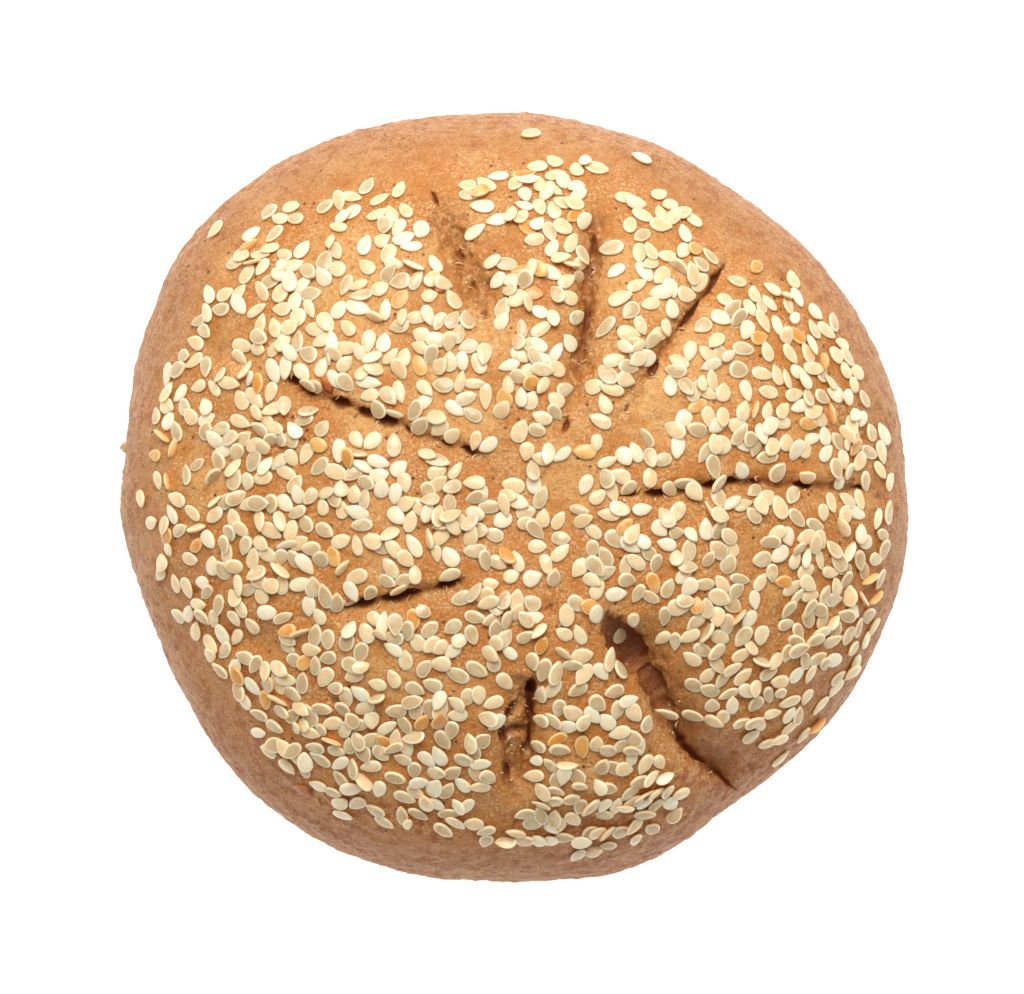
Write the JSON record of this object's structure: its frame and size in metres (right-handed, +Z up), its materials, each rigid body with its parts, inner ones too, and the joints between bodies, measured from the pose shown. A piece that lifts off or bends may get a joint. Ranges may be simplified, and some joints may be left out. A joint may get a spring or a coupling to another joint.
{
  "type": "bread roll",
  "caption": "Round baked bread roll with a flat underside and a domed, seeded crust scored by cuts that meet near the top.",
  "frame": {"origin": "on the surface that the roll rests on, at the bottom centre of its bounding box", "axes": "+Z up through the dome, which is the roll's shortest extent; +X is the roll's right and +Y its back when it is seen from above with the widest cut at the lower right"},
  "size_m": [0.1119, 0.109, 0.0472],
  "materials": {
    "crust": "matte",
    "sesame_seed": "satin"
  },
  "bodies": {
    "root": {"roll": "crust", "sesame_seed_01": "sesame_seed", "sesame_seed_02": "sesame_seed", "sesame_seed_03": "sesame_seed", "sesame_seed_04": "sesame_seed", "sesame_seed_05": "sesame_seed", "sesame_seed_06": "sesame_seed", "sesame_seed_07": "sesame_seed", "sesame_seed_08": "sesame_seed", "sesame_seed_09": "sesame_seed", "sesame_seed_10": "sesame_seed", "sesame_seed_11": "sesame_seed", "sesame_seed_12": "sesame_seed", "sesame_seed_13": "sesame_seed", "sesame_seed_14": "sesame_seed", "sesame_seed_15": "sesame_seed", "sesame_seed_16": "sesame_seed", "sesame_seed_17": "sesame_seed", "sesame_seed_18": "sesame_seed", "sesame_seed_19": "sesame_seed", "sesame_seed_20": "sesame_seed", "sesame_seed_21": "sesame_seed", "sesame_seed_22": "sesame_seed", "sesame_seed_23": "sesame_seed", "sesame_seed_24": "sesame_seed", "sesame_seed_25": "sesame_seed", "sesame_seed_26": "sesame_seed", "sesame_seed_27": "sesame_seed", "sesame_seed_28": "sesame_seed", "sesame_seed_29": "sesame_seed", "sesame_seed_30": "sesame_seed", "sesame_seed_31": "sesame_seed", "sesame_seed_32": "sesame_seed", "sesame_seed_33": "sesame_seed", "sesame_seed_34": "sesame_seed", "sesame_seed_35": "sesame_seed", "sesame_seed_36": "sesame_seed", "sesame_seed_37": "sesame_seed", "sesame_seed_38": "sesame_seed", "sesame_seed_39": "sesame_seed", "sesame_seed_40": "sesame_seed", "sesame_seed_41": "sesame_seed", "sesame_seed_42": "sesame_seed", "sesame_seed_43": "sesame_seed", "sesame_seed_44": "sesame_seed", "sesame_seed_45": "sesame_seed", "sesame_seed_46": "sesame_seed", "sesame_seed_47": "sesame_seed", "sesame_seed_48": "sesame_seed", "sesame_seed_49": "sesame_seed", "sesame_seed_50": "sesame_seed", "sesame_seed_51": "sesame_seed", "sesame_seed_52": "sesame_seed", "sesame_seed_53": "sesame_seed", "sesame_seed_54": "sesame_seed", "sesame_seed_55": "sesame_seed", "sesame_seed_56": "sesame_seed", "sesame_seed_57": "sesame_seed", "sesame_seed_58": "sesame_seed", "sesame_seed_59": "sesame_seed"}
  },
  "joints": []
}
